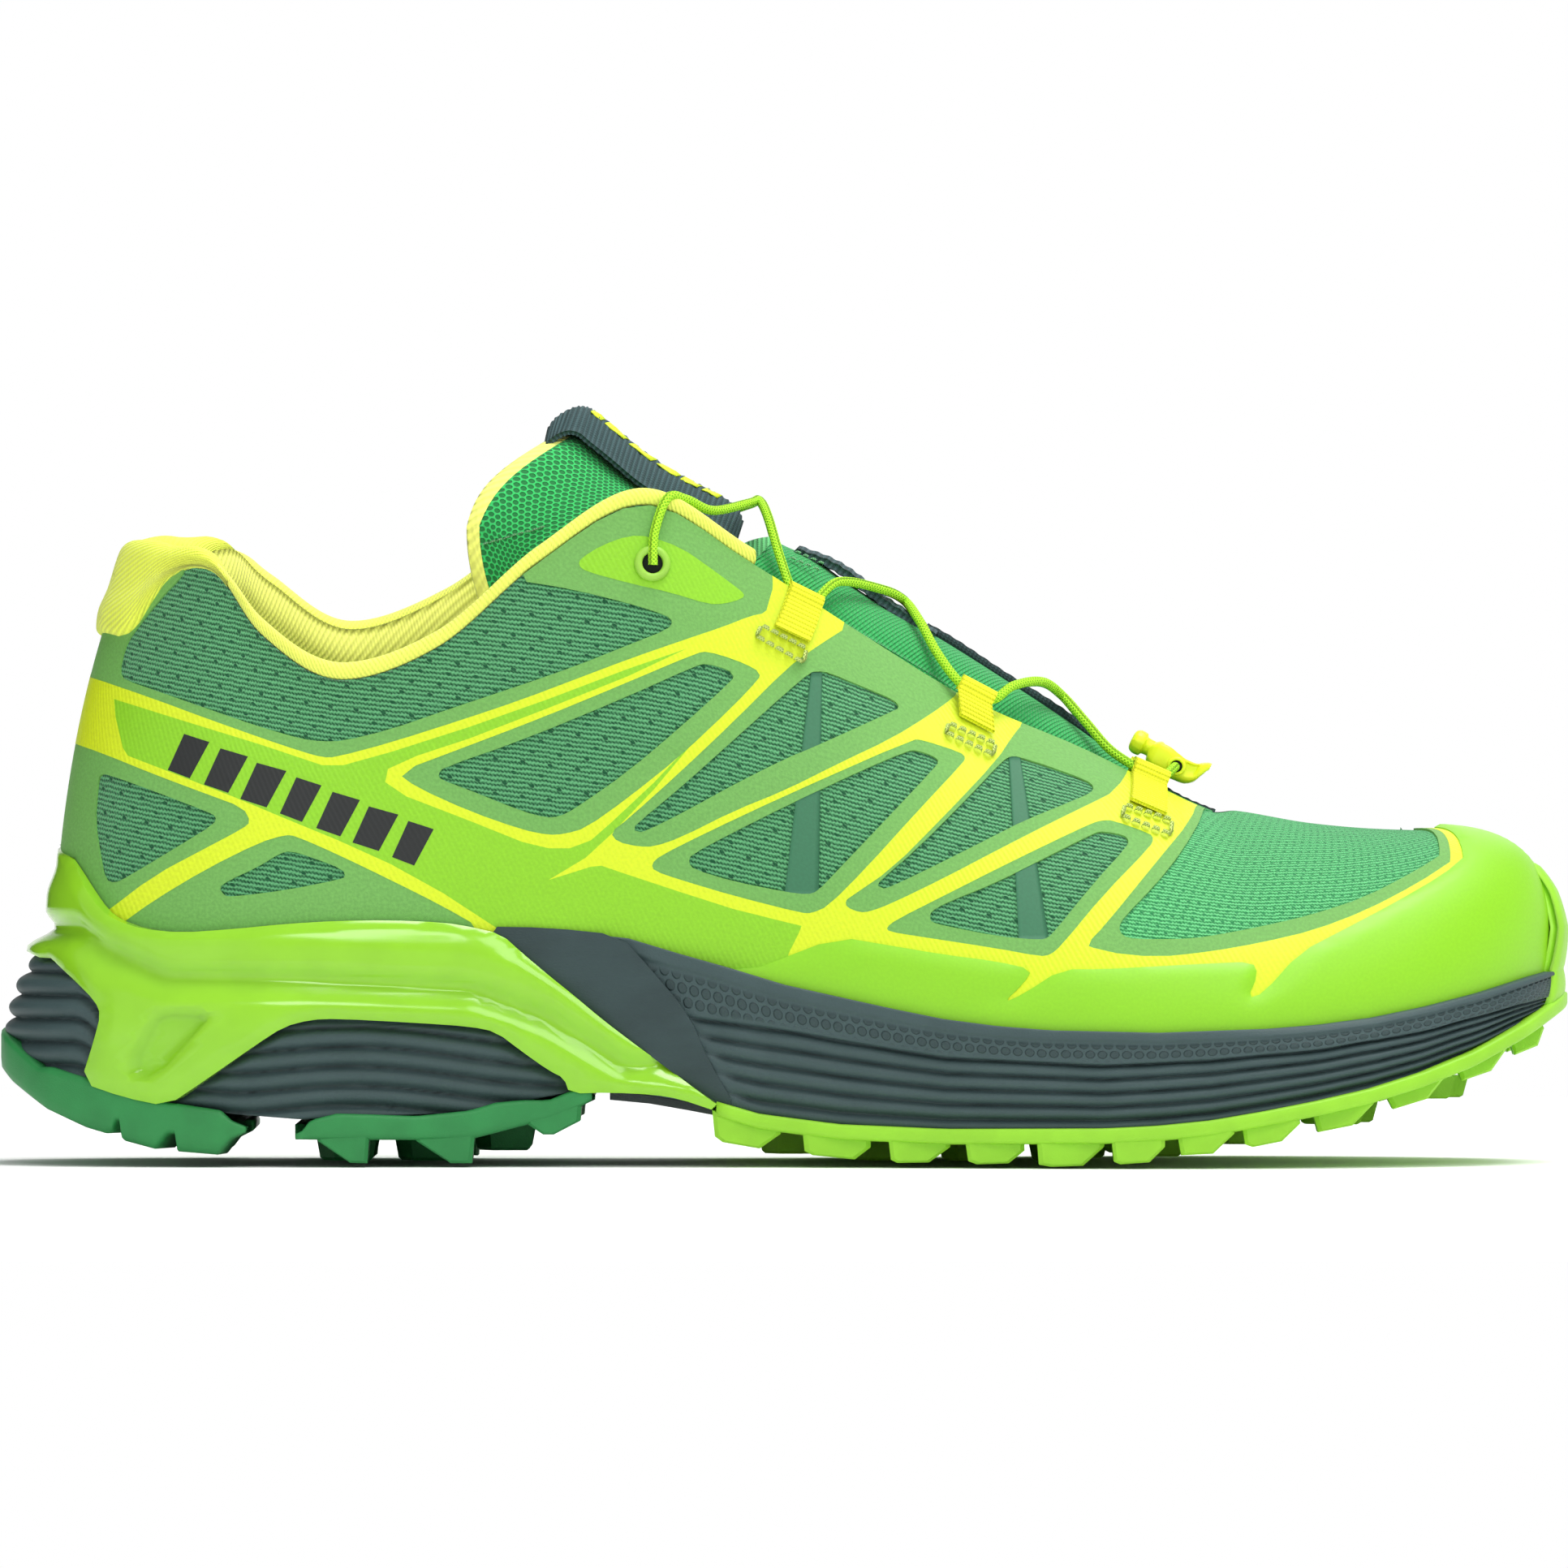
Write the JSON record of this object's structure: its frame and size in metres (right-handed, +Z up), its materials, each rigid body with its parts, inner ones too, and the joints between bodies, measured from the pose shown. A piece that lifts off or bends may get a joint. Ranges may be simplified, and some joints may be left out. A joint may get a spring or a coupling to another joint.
{
  "type": "running shoe",
  "caption": "Low trail running shoe, right foot: knitted upper with welded films, heel frame, ribbed foam midsole, lugged rubber outsole, drawcord lacing with a sliding lock",
  "frame": {"origin": "on the ground at the centre of the shoe's box", "axes": "+X to the toe, +Y to the inner (medial) side, +Z up"},
  "size_m": [0.2991, 0.1054, 0.1436],
  "materials": {
    "outsole_green": "matt moulded rubber",
    "outsole_lime": "matt moulded rubber",
    "midsole": "matt moulded EVA foam, dark slate",
    "frame": "satin to glossy TPU, lime",
    "board": "stitched board",
    "insole": "knit-topped foam",
    "stiffener": "thermoplastic sheet",
    "knit": "double-layer knitted mesh, green",
    "vamp_mesh": "open mesh, bright green",
    "rand": "smooth satin TPU film, lime",
    "yellow_film": "ribbed TPU film, yellow-green",
    "green_film": "grained TPU film, light green",
    "foam": "open-cell foam",
    "lining": "yellow twill",
    "edge": "yellow folded binding",
    "tongue_mesh": "spacer mesh, bright green",
    "webbing": "dark slate ribbed webbing",
    "lace": "braided lime cord",
    "loop": "yellow webbing",
    "thread": "pale green thread",
    "eyelet": "moulded plastic",
    "lock": "moulded plastic, yellow",
    "steel": "spring steel"
  },
  "bodies": {
    "shoe": {"outsole_heel_rear": "outsole_green", "outsole_heel_front": "outsole_green", "outsole_forefoot": "outsole_lime", "toe_bumper": "outsole_lime", "midsole_heel": "midsole", "midsole_forefoot": "midsole", "heel_frame": "frame", "shank": "frame", "strobel_board": "board", "heel_counter": "stiffener", "toe_puff": "stiffener", "vamp": "vamp_mesh", "quarter_lateral": "knit", "quarter_medial": "knit", "rand": "rand", "toe_band": "yellow_film", "straps_lateral": "yellow_film", "straps_medial": "yellow_film", "film_lateral": "green_film", "film_medial": "green_film", "side_panel_lateral": "rand", "side_panel_medial": "rand", "support_strips": "green_film", "collar_foam_lateral": "foam", "collar_foam_medial": "foam", "lining_lateral": "lining", "lining_medial": "lining", "piping_lateral": "edge", "piping_medial": "edge", "heel_tab": "edge", "eyelet_lateral": "eyelet", "eyelet_medial": "eyelet", "loop_1_lateral": "loop", "loop_1_medial": "loop", "loop_2_lateral": "loop", "loop_2_medial": "loop", "loop_3_lateral": "loop", "loop_3_medial": "loop", "loop_stitching": "thread", "lace": "lace", "lace_knots": "lace"},
    "tongue": {"tongue_pad": "foam", "tongue_face": "tongue_mesh", "tongue_lining": "lining", "tongue_strap": "webbing", "lace_pocket": "tongue_mesh"},
    "insole": {"insole": "insole"},
    "lock": {"lock_body": "lock", "lock_spring": "steel"},
    "lock_button": {"lock_button": "lock"}
  },
  "joints": [
    {"name": "tongue_fold", "type": "hinge", "parent": "shoe", "child": "tongue", "pos_m": [0.082, 0.0033, 0.063], "axis": [0, -1, 0], "range_deg": [0, 6], "stiffness_Nm_per_rad": 0.3, "springref_deg": -171.89},
    {"name": "insole_lift", "type": "hinge", "parent": "shoe", "child": "insole", "pos_m": [0.142, 0.004, 0.033], "axis": [0, 1, 0], "range_deg": [0, 4]},
    {"name": "lock_tilt", "type": "hinge", "parent": "shoe", "child": "lock", "pos_m": [0.0748, 0.0033, 0.0756], "axis": [0, -1, 0], "range_deg": [0, 14]},
    {"name": "lock_press", "type": "slide", "parent": "lock", "child": "lock_button", "axis": [0.891, 0, -0.454], "range_m": [0, 0.0015], "stiffness_N_per_m": 200, "springref_m": -0.002}
  ]
}
